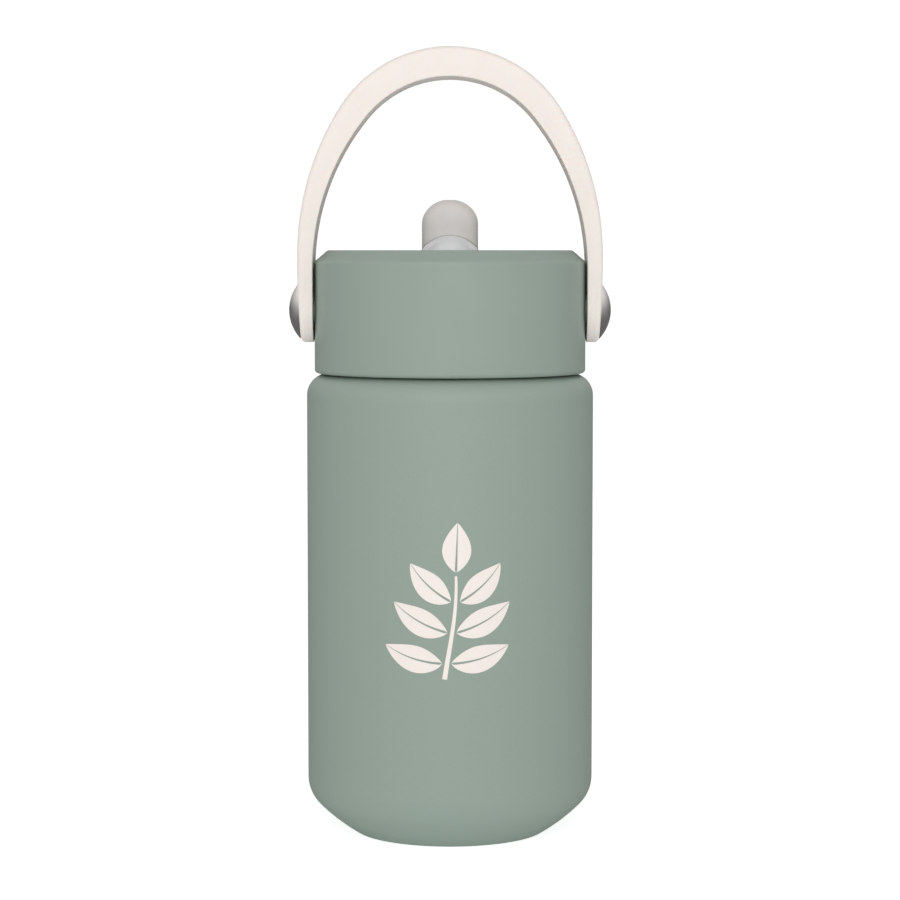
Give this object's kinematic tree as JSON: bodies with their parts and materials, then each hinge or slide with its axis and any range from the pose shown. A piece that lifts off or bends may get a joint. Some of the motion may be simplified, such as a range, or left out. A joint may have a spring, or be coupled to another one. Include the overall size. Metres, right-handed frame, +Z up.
{
  "type": "kids straw water bottle",
  "caption": "Insulated steel bottle with a screw-on lid, a flip-up straw spout and a swinging bail handle.",
  "frame": {"origin": "centre of the base, on the surface that the bottle stands on", "axes": "+Z up along the bottle's axis, -Y towards the front with the printed motif, X along the handle's pivots"},
  "size_m": [0.082, 0.073, 0.1997],
  "materials": {
    "powder_coat": "sage green powder coat, satin",
    "liner_steel": "drawn stainless steel, satin",
    "foil": "bright foil",
    "getter_metal": "sintered metal, matt",
    "bare_steel": "pressed stainless steel, matt",
    "solder": "solidified glass solder, satin",
    "base_steel": "spun stainless steel with fine rings",
    "white_silicone": "white silicone, satin",
    "lid_plastic": "sage green moulded plastic, fine matt grain",
    "insert_plastic": "natural white moulded plastic",
    "connector_silicone": "warm grey silicone",
    "straw_plastic": "natural extruded straw, slightly milky",
    "insert_brass": "turned brass",
    "bush_nylon": "natural nylon",
    "screw_steel": "stainless steel",
    "cap_steel": "polished dome with fine brushing",
    "clear_plastic": "clear moulded plastic, glossy",
    "spout_silicone": "warm grey food silicone, satin",
    "handle_plastic": "cream moulded plastic, soft satin"
  },
  "bodies": {
    "flask": {"outer_shell": "powder_coat", "inner_liner": "liner_steel", "heat_shield_foil": "foil", "getter": "getter_metal", "vacuum_base": "bare_steel", "seal_bead": "solder", "base_plate": "base_steel"},
    "lid_seal": {"lid_gasket": "white_silicone"},
    "lid": {"lid_shell": "lid_plastic", "lid_insert": "insert_plastic", "port_seal": "white_silicone", "vent_valve": "white_silicone", "straw_connector": "connector_silicone", "straw": "straw_plastic", "pivot_insert_left": "insert_brass", "pivot_insert_right": "insert_brass", "pivot_bush_left": "bush_nylon", "pivot_bush_right": "bush_nylon", "pivot_screw_left": "screw_steel", "pivot_screw_right": "screw_steel", "pivot_cap_left": "cap_steel", "pivot_cap_right": "cap_steel"},
    "spout": {"spout_ball": "clear_plastic", "mouthpiece": "spout_silicone"},
    "handle": {"handle_bail": "handle_plastic"}
  },
  "joints": [
    {"name": "lid_lift", "type": "slide", "parent": "flask", "child": "lid_seal", "axis": [0, 0, 1], "range_m": [0, 0.008]},
    {"name": "lid_turn", "type": "hinge", "parent": "lid_seal", "child": "lid", "pos_m": [0, 0, 0.1331], "axis": [0, 0, 1], "range_deg": [0, 720]},
    {"name": "handle_swing", "type": "hinge", "parent": "lid", "child": "handle", "pos_m": [0, 0, 0.1333], "axis": [1, 0, 0], "range_deg": [-115, 115]},
    {"name": "spout_flip", "type": "hinge", "parent": "lid", "child": "spout", "pos_m": [0, 0, 0.1446], "axis": [-1, 0, 0], "range_deg": [0, 90]}
  ],
  "couplings": [
    {"joint": "lid_lift", "follows": "lid_turn", "m_per_rad": 0.00063662}
  ]
}
